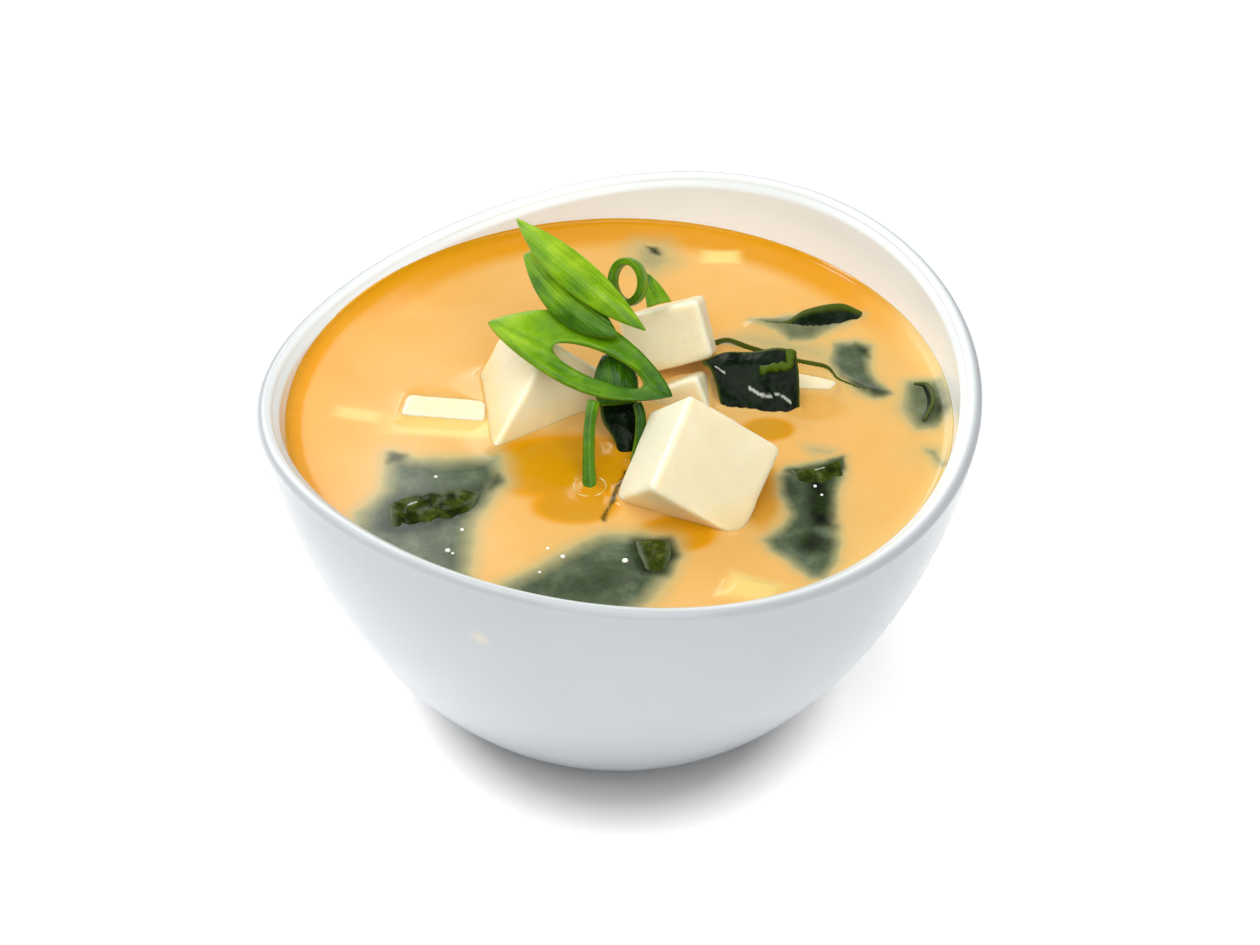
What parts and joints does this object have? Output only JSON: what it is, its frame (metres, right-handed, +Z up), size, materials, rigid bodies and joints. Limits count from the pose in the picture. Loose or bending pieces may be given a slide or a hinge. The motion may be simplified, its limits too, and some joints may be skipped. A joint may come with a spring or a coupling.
{
  "type": "bowl of miso soup",
  "caption": "Glazed porcelain bowl with a wavy rim, filled with cloudy soup, in which tofu cubes, wakame leaves and slantwise slices of spring onion float.",
  "frame": {"origin": "middle of the bowl's footprint, on the surface it stands on", "axes": "+Z up; +Y away from the pictured side; +X to the right of it"},
  "size_m": [0.1186, 0.1191, 0.0764],
  "materials": {
    "porcelain": "glossy white glaze",
    "broth": "cloudy amber liquid, glossy",
    "tofu": "smooth, moist",
    "wakame": "wet, glossy",
    "spring_onion": "wet, glossy"
  },
  "bodies": {
    "root": {"bowl": "porcelain", "soup": "broth", "tofu_front": "tofu", "tofu_left": "tofu", "tofu_back": "tofu", "tofu_middle": "tofu", "tofu_slab": "tofu", "tofu_right": "tofu", "tofu_rim": "tofu", "wakame_fold": "wakame", "wakame_strip": "wakame", "wakame_back": "wakame", "wakame_edge": "wakame", "wakame_side": "wakame", "wakame_left": "wakame", "wakame_front": "wakame", "wakame_under_onion": "wakame", "onion_ring": "spring_onion", "onion_loop": "spring_onion", "onion_long": "spring_onion", "onion_behind": "spring_onion", "onion_scrap": "spring_onion", "onion_tongue": "spring_onion", "onion_stem": "spring_onion", "onion_stem_right": "spring_onion"}
  },
  "joints": []
}
